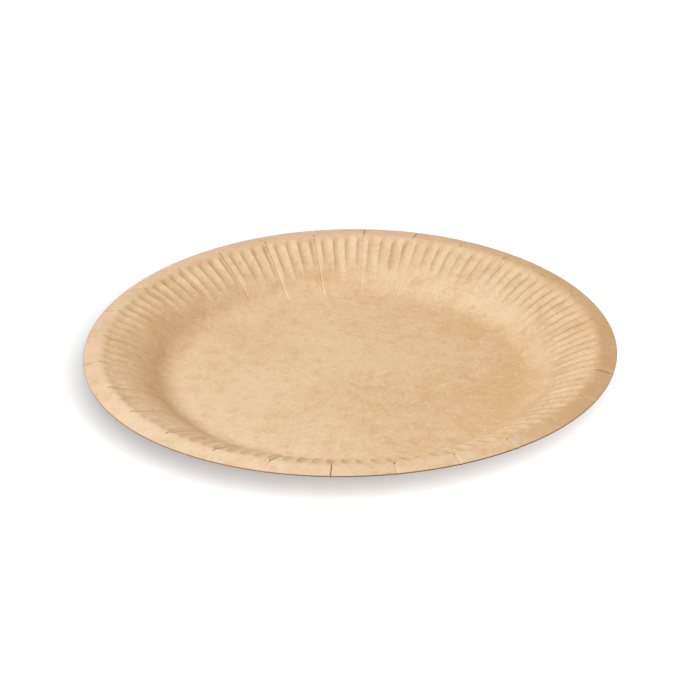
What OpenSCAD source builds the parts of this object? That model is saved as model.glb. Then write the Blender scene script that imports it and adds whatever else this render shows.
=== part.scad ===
// Pressed paperboard plate: a flat base, a fluted wall and a plain rim, gathered in pleats all round.

/* [Plate] */
// Outer diameter of the rim
plate_d = 230; // [214:1:280]
// Diameter of the flat base, where its curve starts
base_d = 147; // [110:1:160]
// Height of the rim's crest above the underside of the base
plate_h = 17; // [9:0.5:24]
// Thickness of the board
board_t = 0.45; // [0.3:0.05:0.8]

/* [Wall and rim] */
// Radius of the curve from the base into the wall
foot_r = 16; // [6:0.5:20]
// Slope of the wall where it runs into the rim's crest
crest_slope = 17; // [4:1:20]
// Radius of the bend from the wall over into the rim
bend_r = 9; // [3:0.5:12]
// Width of the rim from its crest to the outer edge
rim_w = 7; // [4:0.5:12]
// Drop of the rim from its crest to the outer edge
rim_drop = 1; // [0.3:0.1:2]
// How far the rim sags at two sides and lifts at the other two
rim_sag = 1.1; // [0:0.1:2.5]
// Direction of the sag, turned from the right-hand side
sag_turn = 7; // [-90:1:90]

/* [Flutes and pleats] */
// Number of pleats round the plate
pleats = 28; // [20:1:32]
// Direction of the first pleat
pleat_turn = 85.9; // [0:0.1:360]
// Depth of a pleat's crease
pleat_depth = 0.2; // [0.1:0.05:0.6]
// Width of a pleat's crease on the plain rim and wall
pleat_w = 1.2; // [0.6:0.1:2.5]
// Flutes between one pleat and the next
flutes = 4; // [3:1:4]
// Depth of a flute's hollow below the ribs beside it
flute_h = 0.8; // [0.3:0.1:1.4]
// Length of a flute across the wall
flute_len = 20; // [8:0.5:20]
// Distance from the rim's crest to where a flute has its full depth
flute_gap = 3; // [2:0.5:5]

/* [Hidden] */
board_colour = "tan";

// The section follows the middle of the board: arcs for the foot, the wall and the bend, then a straight rim.
plate_r = plate_d / 2;
base_r = base_d / 2;
crest_r = plate_r - rim_w;
base_z = board_t / 2;
crest_z = plate_h - board_t / 2;

// The bend: no larger than the rim can leave at a tangent, nor steeper than the wall can meet.
rim_bend_r = min(bend_r, 0.9 * (rim_w * rim_w + rim_drop * rim_drop) / (2 * rim_drop));
crest_a = min(crest_slope, 0.7 * atan((crest_z - base_z) / (crest_r - base_r)));
brow_r = crest_r - rim_bend_r * sin(crest_a);
brow_z = crest_z - rim_bend_r * (1 - cos(crest_a));
rim_a = atan2(rim_w, rim_bend_r - rim_drop) - acos(rim_bend_r / norm([rim_w, rim_bend_r - rim_drop]));

// The wall: an arc from the foot's end to the brow, where the bend starts.
run = brow_r - base_r;
rest = foot_r - (brow_z - base_z);
lean = foot_r - run * sin(crest_a) - rest * cos(crest_a);
wall_r = (run * run + rest * rest - foot_r * foot_r) / (2 * lean);
wall_a = asin((run + wall_r * sin(crest_a)) / (foot_r + wall_r));

// The flutes lie on the wall, above the foot.
flute_top_r = min(crest_r - flute_gap, brow_r);
flute_low_r = max(flute_top_r - flute_len, base_r + foot_r * sin(wall_a) + 1);

// The base disc ends on the flat ring inside the foot.
seam_w = 6;

// Columns of one pleat's sector, as shares of it: a crease with plain board beside it, or a run of flutes.
sector_a = 360 / pleats;
crease_u = pleat_w / 2 / (crest_r * PI / 180) / sector_a;
plain = [0, crease_u, 1 / 3, 2 / 3, 1 - crease_u];
fluted = [for (i = [0 : 4 * flutes - 1]) i / (4 * flutes)];

// Points of the section: radius, height and the direction away from the board's upper face.
function foot(a) = [base_r + foot_r * sin(a), base_z + foot_r * (1 - cos(a)), -sin(a), cos(a)];
function wall_at(a) =
    let (out = sin(crest_a) - sin(a), down = cos(crest_a) - cos(a))
    [brow_r + wall_r * out, brow_z - wall_r * down, -sin(a), cos(a)];
function bend(a) = [crest_r + rim_bend_r * sin(a), crest_z - rim_bend_r * (1 - cos(a)), sin(a), cos(a)];
function flute_at(share) =
    let (r = flute_low_r + (flute_top_r - flute_low_r) * share)
    wall_at(asin(sin(crest_a) + (brow_r - r) / wall_r));

// Stations from the base to the outer edge: columns, section point, share of the flutes and of the pleats.
stations = [
    [plain, foot(0) - [seam_w, 0, 0, 0], 0, 0],
    [plain, foot(0), 0, 0],
    [plain, foot(wall_a / 3), 0, 0.5],
    [plain, foot(wall_a * 2 / 3), 0, 1],
    [plain, foot(wall_a), 0, 1],
    [fluted, flute_at(0), 0, 1],
    [fluted, flute_at(0.35), 0.5, 1],
    [fluted, flute_at(0.7), 1, 1],
    [fluted, flute_at(1), 1, 1],
    [plain, bend(0), 0, 1],
    [plain, bend(rim_a), 0, 1],
    [plain, [plate_r, crest_z - rim_drop, sin(rim_a), cos(rim_a)], 0, 1],
];

// Lift off the section: wide hollows between narrow ribs, and each pleat's crease in the middle of a hollow.
function hollow(turn) = (1.2 + cos(turn) - 0.2 * cos(2 * turn)) / 2;
function lift(u, flute, pleat) =
    let (crease = u == 0 ? pleat * pleat_depth : 0)
    -flute * flute_h * hollow(360 * flutes * u) - crease;

// The sag grows from nothing at the base to its full amount at the outer edge.
function sag(r, a) = -rim_sag * cos(2 * (a - sag_turn)) * pow(max(0, r - base_r) / (plate_r - base_r), 2);

// One ring of points on the upper (side = 1) or lower (side = -1) face of the board.
function ring_point(s, u, a, side) =
    let (off = lift(u, s[2], s[3]) + side * board_t / 2)
    let (r = s[1][0] + off * s[1][2], z = s[1][1] + off * s[1][3])
    [r * cos(a), r * sin(a), z + sag(s[1][0], a)];
function ring(s, side) = [
    for (k = [0 : pleats - 1], u = s[0]) ring_point(s, u, pleat_turn + (k + u) * sector_a, side)
];

// Triangles between two rings whose columns may differ: each edge goes to the other's nearest column.
function middles(cols) =
    let (ends = concat(cols, 1))
    [for (i = [0 : len(cols) - 1]) (ends[i] + ends[i + 1]) / 2];
function below(list, m) = len([for (x = list) if (x < m - 1e-6) x]);
function up_to(list, m) = len([for (x = list) if (x < m + 1e-6) x]);
function index(first, cols, k, i) = first + (k * len(cols) + i) % (pleats * len(cols));
function band(a, acols, b, bcols) =
    let (am = middles(acols), bm = middles(bcols))
    [for (k = [0 : pleats - 1]) each concat(
        [for (i = [0 : len(acols) - 1])
            [index(a, acols, k, i), index(a, acols, k, i + 1), index(b, bcols, k, below(bm, am[i]))]],
        [for (i = [0 : len(bcols) - 1])
            [index(b, bcols, k, i + 1), index(b, bcols, k, i), index(a, acols, k, up_to(am, bm[i]))]]
    )];

// The wall and rim: rings up the upper face and back down the lower one, closed through the board.
module wall() {
    n = len(stations);
    sides = [for (i = [0 : 2 * n - 1]) i < n ? [stations[i], 1] : [stations[2 * n - 1 - i], -1]];
    rings = [for (s = sides) ring(s[0], s[1])];
    sizes = [for (p = rings) len(p)];
    starts = [for (i = 0, total = 0; i < 2 * n; total = total + sizes[i], i = i + 1) total];
    faces = [for (i = [0 : 2 * n - 1])
        let (j = (i + 1) % (2 * n))
        each band(starts[i], sides[i][0][0], starts[j], sides[j][0][0])];
    polyhedron(points = [for (p = rings) each p], faces = faces, convexity = 8);
}

module plate() {
    color(board_colour) union() {
        cylinder(h = board_t, r = base_r - seam_w / 2, $fn = 180);
        wall();
    }
}

plate();
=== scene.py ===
"""A pressed kraft paper plate, with its fluted wall, pleats and fibrous board, in a white studio."""

import math
import random

import bmesh
import bpy
from bpy.props import FloatProperty, FloatVectorProperty, IntProperty, PointerProperty
from mathutils import Matrix, Vector


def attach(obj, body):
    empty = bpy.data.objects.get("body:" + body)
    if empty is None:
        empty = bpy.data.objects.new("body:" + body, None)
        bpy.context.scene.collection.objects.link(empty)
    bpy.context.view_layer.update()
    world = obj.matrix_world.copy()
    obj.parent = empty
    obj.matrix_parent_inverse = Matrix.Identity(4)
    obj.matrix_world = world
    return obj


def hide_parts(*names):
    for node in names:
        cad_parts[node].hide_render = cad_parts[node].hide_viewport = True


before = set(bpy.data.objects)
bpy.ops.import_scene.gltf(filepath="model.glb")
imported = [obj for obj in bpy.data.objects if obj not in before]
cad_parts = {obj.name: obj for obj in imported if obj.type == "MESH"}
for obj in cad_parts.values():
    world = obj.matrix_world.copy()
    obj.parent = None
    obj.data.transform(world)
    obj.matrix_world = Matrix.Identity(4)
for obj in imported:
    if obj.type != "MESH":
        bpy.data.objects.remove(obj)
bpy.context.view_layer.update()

bl_info = {
    "name": "Kraft Paper Plate",
    "version": (1, 0, 0),
    "blender": (4, 5, 0),
    "location": "View3D > Sidebar > Plate",
    "description": "Models a pressed paper plate with pleats and flutes, and a studio to show it in",
    "category": "Add Mesh",
}

MM = 0.001


def tone(code):
    """A colour as the renderer counts it, from the six figures that a screen shows."""
    shares = [int(code[i : i + 2], 16) / 255 for i in (0, 2, 4)]
    return [s / 12.92 if s < 0.04045 else ((s + 0.055) / 1.055) ** 2.4 for s in shares]


def smooth(low, high, x):
    """0 below low, 1 above high, and an even ease between them."""
    t = min(max((x - low) / (high - low), 0.0), 1.0)
    return t * t * (3 - 2 * t)


def bell(x, width):
    """1 at 0, falling to about a third at width on either side."""
    return math.exp(-((x / width) ** 2))


def length(name, description, default):
    """A size in metres that a user may change."""
    return FloatProperty(name=name, description=description, default=default, unit="LENGTH", precision=5)


def angle(name, description, degrees):
    """An angle that a user may change."""
    return FloatProperty(name=name, description=description, default=math.radians(degrees), subtype="ANGLE")


def level(name, description, default):
    """A plain number that a user may change."""
    return FloatProperty(name=name, description=description, default=default)


def light_colour(name, description, default):
    """A colour that a user may change, as the renderer counts it."""
    return FloatVectorProperty(name=name, description=description, default=default, size=3, subtype="COLOR")


def colour(name, description, code):
    """A colour that a user may change, as a screen shows it."""
    return light_colour(name, description, tone(code))


class PlateSizes(bpy.types.PropertyGroup):
    """Sizes of the pressed board."""

    plate_d: length("Diameter", "Across the outer edge of the rim", 230 * MM)
    base_d: length("Base diameter", "Across the flat base, where its curve starts", 147 * MM)
    plate_h: length("Height", "From the underside of the base to the rim's crest", 17 * MM)
    board_t: length("Board thickness", "Thickness of the board", 0.45 * MM)
    foot_r: length("Foot radius", "Radius of the curve from the base into the wall", 16 * MM)
    bend_r: length("Crest radius", "Radius of the bend from the wall over into the rim", 9 * MM)
    crest_a: angle("Crest slope", "Slope of the wall where it runs into the crest", 17)
    rim_w: length("Rim width", "From the rim's crest to the outer edge", 7 * MM)
    rim_drop: length("Rim drop", "Fall of the rim from its crest to the outer edge", 1.0 * MM)
    rim_sag: length("Rim sag", "How far the rim sags at two sides and lifts at the others", 1.085 * MM)
    sag_turn: angle("Sag direction", "Direction of the sag", 7)


class PressSizes(bpy.types.PropertyGroup):
    """Sizes of the flutes and pleats that the press leaves in the wall."""

    pleats: IntProperty(name="Pleats", description="Pleats round the plate", default=28, min=3)
    pleat_turn: angle("Pleat direction", "Direction of the first pleat", 85.9)
    pleat_depth: length("Pleat depth", "Depth of a pleat's crease", 0.2 * MM)
    pleat_w: length("Pleat width", "Half width of a pleat's crease", 0.28 * MM)
    pleat_start: length("Pleat start", "Distance of a pleat's inner end from the centre", 75.5 * MM)
    flutes: IntProperty(name="Flutes", description="Flutes between two pleats", default=4, min=1)
    flute_h: length("Flute depth", "From a flute's rib to the middle of its hollow", 0.78 * MM)
    flute_len: length("Flute length", "Length of a flute across the wall", 17.5 * MM)
    flute_gap: length("Flute gap", "From the crest to where a flute has its full depth", 5.2 * MM)
    flute_fade: length("Flute fade", "Length over which a flute dies out at the foot of the wall", 9 * MM)
    pocket_len: length("Pocket length", "Length of the rounded upper end of a flute", 3.2 * MM)
    pocket_w: length("Pocket width", "Length over which a flute is deeper beside its upper end", 2.5 * MM)
    seed: IntProperty(name="Seed", description="Seed of the small differences between flutes", default=11)


class BoardColours(bpy.types.PropertyGroup):
    """Colours of the board."""

    base: colour("Base", "Board of the base and wall", "e8c8a1")
    rim: colour("Rim", "Board of the rim", "e3bea0")
    # This colour also paints shade on the right, the right of the rim, the far base and the lower left wall.
    shade_and_cloud: colour("Cloud", "Darker clouds in the board", "d8b083")
    # This colour also paints light at the front left and on the far right wall, and a highlight beside the
    # pleats.
    fleck_and_light: colour("Fleck", "Pale fibres", "efd3b1")
    blush: colour("Blush", "Redder patches in the board", "ecc6a4")
    # This colour also paints shade on the rim at the front right.
    speck_and_shade: colour("Speck", "Dark specks of bark", "9a7048")
    # This colour paints shade in the pleats' creases and along the ribs.
    crease: colour("Crease", "Depth of the pleats", "805838")
    edge: colour("Cut edge", "Cut edge of the board", "a5764c")


class StudioSetup(bpy.types.PropertyGroup):
    """The camera's place and the light."""

    lens: level("Lens", "Focal length in millimetres", 100.2)
    distance: length("Distance", "From the camera to the middle of the rim", 845 * MM)
    rise: angle("Elevation", "Height of the view above the horizon", 27.65)
    roll: angle("Roll", "Turn of the camera about its view", -0.91)
    aim_up: length("Aim", "How far the rim's middle lies above the middle of the picture", 4.2 * MM)
    sky: level("Sky", "Level of the even light from all round", 0.23)
    key: level("Key light", "Level of the light on the plate from the left", 0.64)
    key_turn: angle("Key direction", "Direction of the key light, turned from the right", 212)
    key_rise: angle("Key height", "Height of the key light above the horizon", 42)
    key_far: length("Key distance", "From the key light to the plate", 1.6)
    key_size: length("Key size", "Side of the square key light", 0.53)
    key_tint: light_colour("Key tint", "Colour of the key light", (0.75, 0.88, 1))
    fill: level("Fill light", "Level of the light from high on the right", 0.36)
    fill_turn: angle("Fill direction", "Direction of the fill light, turned from the right", 5)
    fill_rise: angle("Fill height", "Height of the fill light above the horizon", 70)
    fill_far: length("Fill distance", "From the fill light to the plate", 1.2)
    fill_size: length("Fill size", "Side of the square fill light", 1.0)
    fill_tint: light_colour("Fill tint", "Colour of the fill light", (0.97, 0.75, 0.46))
    floor: level("Floor light", "Level of the light that draws the shadow", 0.82)
    floor_turn: angle("Floor light direction", "Direction of the floor's light, turned from the right", 287)
    floor_rise: angle("Floor light height", "Height of the floor's light above the horizon", 32)
    floor_spread: angle("Floor light width", "How wide the floor's light looks from the floor", 60)


class Value:
    """A number in a material: a node's socket, with operators that add Math nodes.

    One without a socket is the place that a material's first nodes are added from.
    """

    def __init__(self, tree, socket):
        self.tree = tree
        self.socket = socket

    def node(self, kind, settings=None, out=0, **inputs):
        """Adds a node of any kind: settings first, then values or links by the socket's name or number."""
        made = self.tree.nodes.new("ShaderNode" + kind)
        for name, value in (settings or {}).items():
            setattr(made, name, value)
        for name, value in inputs.items():
            key = int(name[1:]) if name[0] == "i" and name[1:].isdigit() else name.replace("_", " ")
            if isinstance(value, Value):
                self.tree.links.new(value.socket, made.inputs[key])
            else:
                made.inputs[key].default_value = value
        return Value(self.tree, made.outputs[out])

    def math(self, operation, other=0.0):
        return self.node("Math", {"operation": operation}, i0=self, i1=other)

    def __add__(self, other):
        return self.math("ADD", other)

    __radd__ = __add__

    def __sub__(self, other):
        return self.math("SUBTRACT", other)

    def __rsub__(self, other):
        return self.node("Math", {"operation": "SUBTRACT"}, i0=other, i1=self)

    def __mul__(self, other):
        return self.math("MULTIPLY", other)

    __rmul__ = __mul__

    def root(self):
        return self.math("SQRT")

    def ease(self, low, high):
        """0 below low, 1 above high, and an even ease between them. It falls where low is the higher."""
        return self.node(
            "MapRange", {"interpolation_type": "SMOOTHSTEP"}, Value=self, From_Min=low, From_Max=high
        )

    def tint(self, under, over):
        """One colour where this is 0 and another where it is 1."""
        return self.node("Mix", {"data_type": "RGBA"}, out=2, i0=self, i6=under, i7=over)


def paint(shade):
    """A colour property as the four numbers that a node's colour socket takes."""
    return (*shade, 1.0)


class Section:
    """The board's section: a flat base, foot, wall and crest arcs and a straight rim, all tangent."""

    # Parts of the wall's arc, from the foot up: share of its turn and steps.
    # It is finest at the flutes' upper ends.
    WALL_PARTS = ((0.4, 6), (0.3, 6), (0.3, 9))
    FOOT_STEPS = 6
    BEND_STEPS = 7
    RIM_CUTS = 2

    def __init__(self, s, p):
        self.plate_r = s.plate_d / 2
        self.base_r = s.base_d / 2
        self.crest_r = self.plate_r - s.rim_w
        self.base_z = s.board_t / 2
        self.crest_z = s.plate_h - s.board_t / 2
        self.foot_r = s.foot_r
        self.bend_r = s.bend_r
        self.crest_a = s.crest_a
        self.brow_r = self.crest_r - s.bend_r * math.sin(s.crest_a)
        self.brow_z = self.crest_z - s.bend_r * (1 - math.cos(s.crest_a))
        run = self.brow_r - self.base_r
        rest = s.foot_r - (self.brow_z - self.base_z)
        lean = s.foot_r - run * math.sin(s.crest_a) - rest * math.cos(s.crest_a)
        self.wall_r = (run**2 + rest**2 - s.foot_r**2) / (2 * lean)
        self.wall_a = math.asin((run + self.wall_r * math.sin(s.crest_a)) / (s.foot_r + self.wall_r))
        reach = math.hypot(s.rim_w, s.bend_r - s.rim_drop)
        self.rim_a = math.atan2(s.rim_w, s.bend_r - s.rim_drop) - math.acos(s.bend_r / reach)
        self.bend_end = self.crest_r + s.bend_r * math.sin(self.rim_a)
        self.joint_r = self.base_r + self.foot_r * math.sin(self.wall_a)
        self.flute_top = self.crest_r - p.flute_gap
        self.flute_low = self.flute_top - p.flute_len
        self.edge_z = self.crest_z - s.rim_drop

    def slope(self, r):
        """Angle at which the board climbs, going outwards."""
        if r <= self.base_r:
            return 0.0
        if r < self.joint_r:
            return math.asin((r - self.base_r) / self.foot_r)
        if r < self.brow_r:
            return math.asin(math.sin(self.crest_a) + (self.brow_r - r) / self.wall_r)
        return math.asin((self.crest_r - min(r, self.bend_end)) / self.bend_r)

    def trace(self, bm):
        """Draws the section from the base's edge outwards: arcs spun from one vertex, and a straight rim."""
        foot = Vector((self.base_r, 0, self.base_z + self.foot_r))
        wall = Vector((self.brow_r, 0, self.brow_z))
        wall += self.wall_r * Vector((math.sin(self.crest_a), 0, -math.cos(self.crest_a)))
        bend = Vector((self.crest_r, 0, self.crest_z - self.bend_r))
        climb = self.wall_a - self.crest_a
        arcs = [(foot, -self.wall_a, self.FOOT_STEPS)]
        arcs += [(wall, climb * share, steps) for share, steps in self.WALL_PARTS]
        arcs += [(bend, self.crest_a + self.rim_a, self.BEND_STEPS)]
        tip = bm.verts.new((self.base_r, 0, self.base_z))
        for centre, turn, steps in arcs:
            made = bmesh.ops.spin(bm, geom=[tip], cent=centre, axis=(0, 1, 0), angle=turn, steps=steps)
            tip = next(g for g in made["geom_last"] if isinstance(g, bmesh.types.BMVert))
        rim = bmesh.ops.extrude_vert_indiv(bm, verts=[tip])
        rim["verts"][0].co = (self.plate_r, 0, self.edge_z)
        bmesh.ops.subdivide_edges(bm, edges=rim["edges"], cuts=self.RIM_CUTS)


class Press:
    """Moves the plain spun board into its flutes, pleats and sag."""

    # Columns of one flute, as shares of it from a rib, and of a pleat, as shares of a flute either side.
    FLUTE_STEPS = (0, 0.05, 0.14, 0.26, 0.38, 0.5, 0.62, 0.74, 0.86, 0.95)
    PLEAT_STEPS = (-0.37, -0.28, -0.2, -0.14, -0.092, -0.046, 0, 0.046, 0.092, 0.15, 0.23, 0.32, 0.42, 0.52)
    # Place of a pleat between the two ribs beside it.
    PLEAT_PLACE = 0.42
    # Small differences: depth of a flute, place of its lower end in millimetres, and depth of a pleat.
    FLUTE_DEPTHS = (0.8, 1.12)
    FLUTE_LOWS = (-2.2, 2.2)
    PLEAT_DEPTHS = (0.7, 1.1)

    # Direction of the side where the flutes are deepest, and how much deeper they are there.
    DEEP_SIDE = math.radians(30)
    DEEPER = 0.42
    # Direction of the side where the flutes are shortest, how much shorter they are there, and the cosines
    # of the turn from it at which that starts and is full.
    SHORT_SIDE = math.radians(190)
    SHORTER = 6 * MM
    SHORT_REACH = (0.3, 1.0)
    # The same for the side where the flutes end furthest below the crest.
    FAR_SIDE = math.radians(85)
    LOWER_END = 1.2 * MM
    FAR_REACH = (0.2, 0.9)
    # How far a flute's upper end reaches up in the middle, how much deeper the flute is beside that end,
    # the side where it is least so, and how much that changes from side to side.
    ROUND_END = 0.62
    POCKET = 0.28
    SHALLOW_SIDE = math.radians(-20)
    POCKET_CHANGE = 1.2
    # The painted shade line along a rib: its half width as a share of a flute, then the strength and width
    # of the painted shade on the flank beside it.
    RIB_W = 0.04
    PAINTED_FLANK_SHADE = 0.32
    FLANK_W = 0.6

    # Pleats, counted from the first against the clock: those that gape on the rim, those that gape on its
    # outer half only, and those that are dark all down the wall; each gap and dark line is painted shade.
    OPEN_PLEATS = (0, 14, 20, 27)
    HALF_PLEATS = (6, 7, 8)
    DARK_PLEATS = (9, 10, 11, 12, 13)
    # How much painted shade each of these has, then a shut pleat on the rim, a plain one at the foot, what
    # the flutes add to that, and what the crest adds, over its half width.
    OPEN_DARK = 1.2
    HALF_DARK = 0.9
    WALL_DARK = 0.75
    SHUT_DARK = 0.1
    FOOT_DARK = 0.12
    FLUTE_DARK = 0.4
    CREST_DARK = 0.6
    CREST_W = 0.8 * MM
    # Length over which a pleat sets in, on the wall and on the outer half of the rim.
    PLEAT_RAMP = 2.5 * MM
    # Direction of the side where the pleats run down to the base, worn pale with a painted highlight, how
    # wide that side is, and the multiple of that where the wear and highlight end.
    WORN_SIDE = math.radians(73)
    WORN_SPREAD = math.radians(39)
    WORN_END = 1.45
    # Half width of the worn line with its painted highlight, as a share of the crease's, and how much
    # fainter it is among the flutes.
    WEAR_AND_HIGHLIGHT_W = 0.8
    WEAR_AND_HIGHLIGHT_FAINTER = 0.5
    # How much further up the wall a pleat starts on the other sides.
    LATE_START = 7 * MM

    def __init__(self, sizes, press, section):
        chance = random.Random(press.seed)
        self.s = sizes
        self.p = press
        self.section = section
        self.sector = 2 * math.pi / press.pleats
        self.depths = [chance.uniform(*self.FLUTE_DEPTHS) for _ in range(press.pleats * press.flutes)]
        self.lows = [chance.uniform(*self.FLUTE_LOWS) * MM for _ in self.depths]
        self.pleats = [chance.uniform(*self.PLEAT_DEPTHS) for _ in range(press.pleats)]
        shares = [step % press.flutes for step in self.PLEAT_STEPS] + [press.flutes - self.PLEAT_PLACE]
        for rib in range(1, press.flutes):
            shares += [rib - self.PLEAT_PLACE + step for step in self.FLUTE_STEPS]
        self.columns = [share / press.flutes for share in sorted(shares)]

    def place(self, a):
        """Number of the pleat before an evenly spun angle, and its column's share of the sector."""
        turns = (a - self.p.pleat_turn) / self.sector
        k, column = divmod(round(turns * len(self.columns)), len(self.columns))
        return k % self.p.pleats, self.columns[column]

    def direction(self, k, u):
        """Angle of a column, from the right."""
        return self.p.pleat_turn + (k + u) * self.sector

    def flute(self, r, k, u):
        """Lift of the flutes, wide hollows with sharp ribs between them, and the painted shade along a rib
        and its flank.
        """
        share = self.p.flutes * u + self.PLEAT_PLACE
        number = (k * self.p.flutes + math.floor(share)) % len(self.depths)
        across = share % 1
        round_across = 4 * across * (1 - across)
        a = self.direction(k, u)
        low = self.section.flute_low + self.lows[number]
        low += self.SHORTER * smooth(*self.SHORT_REACH, math.cos(a - self.SHORT_SIDE))
        top = self.section.flute_top + self.ROUND_END * self.p.pocket_len * round_across
        top -= self.LOWER_END * smooth(*self.FAR_REACH, math.cos(a - self.FAR_SIDE))
        along = smooth(low, low + self.p.flute_fade, r) * (1 - smooth(top, top + self.p.pocket_len, r))
        along *= 1 + self.DEEPER * math.cos(a - self.DEEP_SIDE)
        pocket = self.POCKET * (1 - self.POCKET_CHANGE * math.cos(a - self.SHALLOW_SIDE))
        pocket = 1 + pocket * bell(r - top + self.p.pocket_len / 2, self.p.pocket_w)
        lift = -self.p.flute_h * self.depths[number] * round_across * along * pocket
        rib = bell(min(across, 1 - across), self.RIB_W)
        rib += self.PAINTED_FLANK_SHADE * (1 - smooth(0.0, self.FLANK_W, across))
        return lift, along * min(rib, 1.0)

    def gape(self, r, near):
        """How much painted shade a pleat has on the rim."""
        if near in self.HALF_PLEATS:
            half = self.section.bend_end
            return self.HALF_DARK * smooth(half, half + self.PLEAT_RAMP, r)
        return self.OPEN_DARK if near in self.OPEN_PLEATS else self.SHUT_DARK

    def crease(self, r, k, u):
        """Depth share of the nearest pleat, its painted crease shade, and its wear and painted highlight."""
        near, off = (k, u) if u < 0.5 else ((k + 1) % self.p.pleats, u - 1)
        across = off * self.sector * r
        turn = math.remainder(self.direction(near, 0) - self.WORN_SIDE, 2 * math.pi)
        use = 1 - smooth(self.WORN_SPREAD, self.WORN_END * self.WORN_SPREAD, abs(turn))
        start = self.p.pleat_start + self.LATE_START * (1 - use)
        along = self.pleats[near] * smooth(start, start + self.PLEAT_RAMP, r)
        rim = smooth(self.section.crest_r, self.section.bend_end, r)
        flutes = smooth(self.section.joint_r, self.section.flute_top, r)
        wall = self.WALL_DARK if near in self.DARK_PLEATS else self.FOOT_DARK + self.FLUTE_DARK * flutes
        dark = wall * (1 - rim) + self.gape(r, near) * rim
        dark += self.CREST_DARK * bell(r - self.section.crest_r, self.CREST_W)
        depth = along * bell(across, self.p.pleat_w)
        wear_and_highlight = use * along * bell(across + self.p.pleat_w, self.WEAR_AND_HIGHLIGHT_W * self.p.pleat_w)
        wear_and_highlight *= (1 - self.WEAR_AND_HIGHLIGHT_FAINTER * flutes) * (1 - rim)
        return depth, depth * dark, wear_and_highlight

    def sag(self, r, a):
        share = max(0.0, r - self.section.base_r) / (self.section.plate_r - self.section.base_r)
        return -self.s.rim_sag * math.cos(2 * (a - self.s.sag_turn)) * share**2

    def move(self, vert):
        """Puts a vertex of the spun section on the board's upper face.

        Returns its painted crease shade, its wear and painted highlight, and its painted shade along a rib.
        """
        r = math.hypot(vert.co.x, vert.co.y)
        k, u = self.place(math.atan2(vert.co.y, vert.co.x))
        a = self.direction(k, u)
        depth, dark, wear_and_highlight = self.crease(r, k, u)
        flute, rib = self.flute(r, k, u)
        off = flute - self.p.pleat_depth * depth + self.s.board_t / 2
        slope = self.section.slope(r)
        out = r - off * math.sin(slope)
        up = vert.co.z + off * math.cos(slope) + self.sag(r, a)
        vert.co = (out * math.cos(a), out * math.sin(a), up)
        return dark, wear_and_highlight, rib


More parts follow.
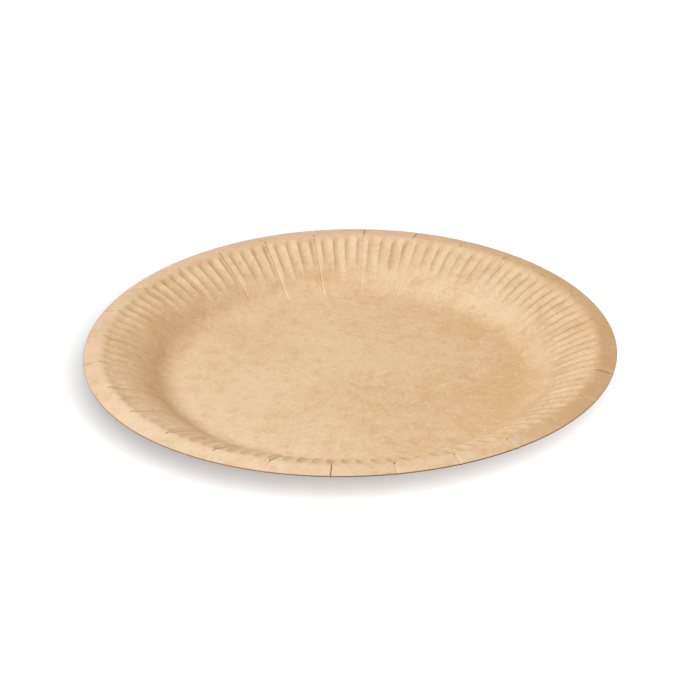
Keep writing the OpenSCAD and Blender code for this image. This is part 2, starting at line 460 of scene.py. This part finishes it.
def kraft_board(colours, section):
    """Matte unbleached board: clouds, fibres, specks, cut edge, painted crease shade, painted light and
    shade by side.
    """
    material = bpy.data.materials.new("kraft_board")
    material.use_nodes = True
    tree = material.node_tree
    shader = tree.nodes["Principled BSDF"]
    start = Value(tree, None)
    place = start.node("TexCoord", out="Object")
    x = start.node("SeparateXYZ", i0=place, out="X")
    y = start.node("SeparateXYZ", i0=place, out="Y")
    r = (x * x + y * y).root()

    def towards(right, away):
        """How far a point lies to the right and away from the viewer, in shares of the two."""
        return x * right + y * away

    def noise(scale, detail, stretch=(1, 1, 1), warp=0.0):
        spread = start.node("Mapping", Vector=place, Scale=stretch)
        return start.node(
            "TexNoise", Vector=spread, Scale=scale, Detail=detail, Roughness=0.6, Distortion=warp
        )

    def mottle(scale, detail, low, high, strength):
        """Patches of a noise: none where it is below low, at full strength where it is above high."""
        return noise(scale, detail).ease(low, high) * strength

    def dots(scale, share):
        """Round dots in a share of the cells of a random net."""
        cell = {"feature": "F1"}
        near = start.node("TexVoronoi", cell, Vector=place, Scale=scale)
        pick = start.node("TexVoronoi", cell, Vector=place, Scale=scale, out="Color")
        chosen = start.node("SeparateColor", i0=pick).ease(share, share * 0.8)
        return near.ease(0.3, 0.1) * chosen

    def hairs(scale, width, stretch, share):
        """Thin curved fibres: contour lines of a warped noise, broken up by another."""
        field = noise(scale, 1, stretch, 1.2)
        line = (field - 0.5).math("ABSOLUTE").ease(width, width * 0.3)
        return line * noise(scale * 0.6, 1).ease(share, share + 0.08)

    def mark(name):
        """What the press wrote on the vertices."""
        return start.node("Attribute", {"attribute_name": name}, out="Fac")

    # Zones of the plate, from its middle outwards.
    foot = r.ease(section.base_r, section.joint_r)
    low_wall = foot * r.ease(section.joint_r + 18 * MM, section.joint_r + 6 * MM)
    wall = foot * r.ease(section.crest_r, section.crest_r - 5 * MM)
    rim = r.ease(section.crest_r - 3 * MM, section.bend_end)
    edge = r.ease(section.plate_r - 0.2 * MM, section.plate_r - 0.05 * MM)

    # The ground, with painted light at the front left and on the wall at the far right, and redder patches.
    ground = rim.tint(paint(colours.base), paint(colours.rim))
    painted_light = towards(-0.35, -1).ease(30 * MM, 85 * MM) * 0.65
    painted_light += towards(1, 1).ease(90 * MM, 140 * MM) * wall * 0.5
    ground = painted_light.tint(ground, paint(colours.fleck_and_light))
    ground = mottle(130, 2, 0.4, 0.65, 0.6).tint(ground, paint(colours.blush))

    # Painted shade on the right, the rim's right, the far base and low on the left wall, then smaller clouds
    # all over.
    shade_and_clouds = towards(1, -0.35).ease(-40 * MM, 110 * MM) * (1 - wall * 0.65) * (1 - rim) * 0.62
    shade_and_clouds += x.ease(40 * MM, 110 * MM) * rim * 0.75
    shade_and_clouds += y.ease(0, 70 * MM) * (1 - wall) * (1 - rim) * 0.2
    shade_and_clouds += towards(-0.95, 0.3).ease(40 * MM, 90 * MM) * low_wall * 0.12
    shade_and_clouds += mottle(20, 2, 0.4, 0.68, 0.3)
    shade_and_clouds += mottle(75, 3, 0.42, 0.7, 0.4) * wall
    shade_and_clouds += mottle(170, 3, 0.42, 0.72, 0.4)
    shade_and_clouds += mottle(620, 3, 0.42, 0.74, 0.4)
    board = shade_and_clouds.tint(ground, paint(colours.shade_and_cloud))

    # Pale fibres, painted shade on the rim at the front right, then dark fibres and specks.
    fibres = hairs(160, 0.03, (1, 1, 1), 0.5) * 0.3 + hairs(380, 0.06, (0.8, 1, 1), 0.5) * 0.4
    board = fibres.tint(board, paint(colours.fleck_and_light))
    painted_rim_shade = towards(1, -0.4).ease(95 * MM, 120 * MM) * rim * 0.1
    board = painted_rim_shade.tint(board, paint(colours.speck_and_shade))
    specks = hairs(300, 0.03, (0.8, 1, 1), 0.56) * 0.14 + dots(420, 0.03) * 0.2
    board = specks.tint(board, paint(colours.speck_and_shade))

    # Painted shade on ribs and flanks, keenest on the right; pleats' wear and painted highlight; painted
    # crease shade; cut edge.
    painted_rib_shade = towards(1, -0.15).ease(10 * MM, 90 * MM) * 0.3 + 0.11
    board = (mark("rib") * painted_rib_shade).tint(board, paint(colours.crease))
    board = (mark("fold").ease(0.15, 0.9) * 0.75).tint(board, paint(colours.fleck_and_light))
    board = (mark("crease").ease(0.08, 0.85) * 0.9).tint(board, paint(colours.crease))
    board = (edge * 0.85).tint(board, paint(colours.edge))
    tree.links.new(board.socket, shader.inputs["Base Color"])

    tooth = noise(1500, 3) * 0.6 + noise(320, 3) * 0.4
    bump = start.node("Bump", Strength=0.25, Distance=0.08 * MM, Height=tooth)
    tree.links.new(bump.socket, shader.inputs["Normal"])
    matt = 0.72 + noise(240, 2) * 0.2
    tree.links.new(matt.socket, shader.inputs["Roughness"])
    shader.inputs["Specular IOR Level"].default_value = 0.25
    return material


class PLATE_OT_board(bpy.types.Operator):
    """Model the pressed board of the plate"""

    bl_idname = "plate.board"
    bl_label = "Pressed Board"

    # Points closer than this are one, and an edge of the mesh that turns further than this is sharp.
    JOIN = 0.01 * MM
    SHARP = math.radians(50)

    def execute(self, context):
        sizes = context.scene.plate_sizes
        section = Section(sizes, context.scene.press_sizes)
        press = Press(sizes, context.scene.press_sizes, section)
        bm = bmesh.new()
        section.trace(bm)
        start = Matrix.Rotation(press.p.pleat_turn, 3, "Z")
        bmesh.ops.rotate(bm, verts=bm.verts, cent=(0, 0, 0), matrix=start)
        bmesh.ops.spin(
            bm,
            geom=bm.verts[:] + bm.edges[:],
            cent=(0, 0, 0),
            axis=(0, 0, 1),
            angle=2 * math.pi,
            steps=press.p.pleats * len(press.columns),
            use_merge=True,
        )
        bmesh.ops.remove_doubles(bm, verts=bm.verts, dist=self.JOIN)
        inner_r = section.base_r + self.JOIN
        inner = [e for e in bm.edges if e.is_boundary and e.verts[0].co.xy.length < inner_r]
        bmesh.ops.edgeloop_fill(bm, edges=inner)
        bmesh.ops.recalc_face_normals(bm, faces=bm.faces)
        base = max(bm.faces, key=lambda face: len(face.verts))
        if base.normal.z < 0:
            bmesh.ops.reverse_faces(bm, faces=bm.faces)
        marks = [bm.verts.layers.float.new(name) for name in ("crease", "fold", "rib")]
        for vert in bm.verts:
            for mark, share in zip(marks, press.move(vert)):
                vert[mark] = share
        bm.normal_update()
        bmesh.ops.solidify(bm, geom=bm.faces[:], thickness=sizes.board_t)
        mesh = bpy.data.meshes.new("pressed_board")
        bm.to_mesh(mesh)
        bm.free()
        mesh.shade_smooth()
        mesh.set_sharp_from_angle(angle=self.SHARP)
        mesh.materials.append(kraft_board(context.scene.board_colours, section))
        board = bpy.data.objects.new("pressed_board", mesh)
        context.collection.objects.link(board)
        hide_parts("plate")
        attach(board, "root")
        return {"FINISHED"}


def plain_sight(tree):
    """1 for rays that the camera sees, straight or by way of a shiny or clear surface, and else 0."""
    start = Value(tree, None)
    names = ("Is Camera Ray", "Is Glossy Ray", "Is Transmission Ray")
    camera, gloss, clear = (start.node("LightPath", out=name) for name in names)
    return camera.math("MAXIMUM", gloss).math("MAXIMUM", clear)


# The floor's colour and glow, as the camera sees them and as they light the plate.
FLOOR_SEEN = (0.9, 0.9, 0.9, 1)
FLOOR_UNSEEN = (0.25, 0.25, 0.25, 1)
GLOW_SEEN = (0.215, 0.215, 0.215, 1)
GLOW_UNSEEN = (0, 0, 0, 1)


def white_floor():
    """White paper that keeps the shadow, a little lighter to the camera, to meet the white beyond."""
    material = bpy.data.materials.new("white_floor")
    material.use_nodes = True
    tree = material.node_tree
    shader = tree.nodes["Principled BSDF"]
    shader.inputs["Roughness"].default_value = 0.9
    shader.inputs["Specular IOR Level"].default_value = 0.0
    shader.inputs["Emission Strength"].default_value = 1.0
    seen = plain_sight(tree)
    paper = seen.tint(FLOOR_UNSEEN, FLOOR_SEEN)
    tree.links.new(paper.socket, shader.inputs["Base Color"])
    glow = seen.tint(GLOW_UNSEEN, GLOW_SEEN)
    tree.links.new(glow.socket, shader.inputs["Emission Color"])
    return material


def white_world(scene, sky):
    """Even light from all round, which the camera and shiny surfaces see as plain white."""
    world = bpy.data.worlds.new("studio")
    world.use_nodes = True
    scene.world = world
    tree = world.node_tree
    seen = plain_sight(tree)
    strength = seen + (1 - seen) * sky
    tree.links.new(strength.socket, tree.nodes["Background"].inputs["Strength"])
    tree.nodes["Background"].inputs["Color"].default_value = (1, 1, 1, 1)


def lamp(context, name, kind, lit, power, turn, rise, far=1.0):
    """A lamp that lights one object alone, from a direction turned from the right.

    A power of 1 shows a flat colour as it is written.
    """
    data = bpy.data.lights.new(name, kind)
    data.energy = power * math.pi / math.sin(rise)
    if kind == "AREA":
        data.energy *= math.pi * far**2
    made = bpy.data.objects.new(name, data)
    out = Vector((math.cos(turn) * math.cos(rise), math.sin(turn) * math.cos(rise), math.sin(rise)))
    made.location = out * far
    made.rotation_euler = out.to_track_quat("Z", "Y").to_euler()
    context.collection.objects.link(made)
    group = bpy.data.collections.new(name + "_lights")
    group.objects.link(lit)
    made.light_linking.receiver_collection = group
    return data


class PLATE_OT_studio(bpy.types.Operator):
    """Set the floor, the light and the camera"""

    bl_idname = "plate.studio"
    bl_label = "White Studio"

    # Half the side of the floor, and how far it lies below the plate.
    FLOOR_HALF = 6
    FLOOR_GAP = 0.05 * MM

    def execute(self, context):
        setup = context.scene.studio_setup
        section = Section(context.scene.plate_sizes, context.scene.press_sizes)

        bm = bmesh.new()
        bmesh.ops.create_grid(bm, x_segments=1, y_segments=1, size=self.FLOOR_HALF)
        mesh = bpy.data.meshes.new("floor")
        bm.to_mesh(mesh)
        bm.free()
        mesh.materials.append(white_floor())
        floor = bpy.data.objects.new("floor", mesh)
        floor.location.z = -self.FLOOR_GAP
        context.collection.objects.link(floor)

        white_world(context.scene, setup.sky)
        board = bpy.data.objects["pressed_board"]
        key = lamp(
            context, "key", "AREA", board, setup.key, setup.key_turn, setup.key_rise, setup.key_far
        )
        key.size = setup.key_size
        key.color = setup.key_tint
        fill = lamp(
            context, "fill", "AREA", board, setup.fill, setup.fill_turn, setup.fill_rise, setup.fill_far
        )
        fill.size = setup.fill_size
        fill.color = setup.fill_tint
        front = lamp(context, "front", "SUN", floor, setup.floor, setup.floor_turn, setup.floor_rise)
        front.angle = setup.floor_spread

        camera = bpy.data.objects.new("camera", bpy.data.cameras.new("camera"))
        camera.data.lens = setup.lens
        up = Vector((0, math.sin(setup.rise), math.cos(setup.rise)))
        back = Vector((0, -math.cos(setup.rise), math.sin(setup.rise)))
        middle = Vector((0, 0, section.edge_z))
        camera.location = middle + back * setup.distance - up * setup.aim_up
        tilt = Matrix.Rotation(math.pi / 2 - setup.rise, 3, "X")
        camera.rotation_euler = (tilt @ Matrix.Rotation(setup.roll, 3, "Z")).to_euler()
        context.collection.objects.link(camera)
        context.scene.camera = camera
        context.scene.view_settings.view_transform = "Standard"
        return {"FINISHED"}


class PLATE_PT_sidebar(bpy.types.Panel):
    """The plate's sizes, colours and studio"""

    bl_label = "Paper Plate"
    bl_idname = "PLATE_PT_sidebar"
    bl_space_type = "VIEW_3D"
    bl_region_type = "UI"
    bl_category = "Plate"

    def draw(self, context):
        for name, group in GROUPS.items():
            box = self.layout.box()
            box.label(text=group.__doc__)
            for setting in group.__annotations__:
                box.prop(getattr(context.scene, name), setting)
        self.layout.operator(PLATE_OT_board.bl_idname)
        self.layout.operator(PLATE_OT_studio.bl_idname)


GROUPS = {
    "plate_sizes": PlateSizes,
    "press_sizes": PressSizes,
    "board_colours": BoardColours,
    "studio_setup": StudioSetup,
}
CLASSES = (*GROUPS.values(), PLATE_OT_board, PLATE_OT_studio, PLATE_PT_sidebar)


def register():
    for cls in CLASSES:
        bpy.utils.register_class(cls)
    for name, group in GROUPS.items():
        setattr(bpy.types.Scene, name, PointerProperty(type=group))


def unregister():
    for name in GROUPS:
        delattr(bpy.types.Scene, name)
    for cls in reversed(CLASSES):
        bpy.utils.unregister_class(cls)


def main():
    register()
    bpy.ops.plate.board()
    bpy.ops.plate.studio()


if __name__ == "__main__":
    main()
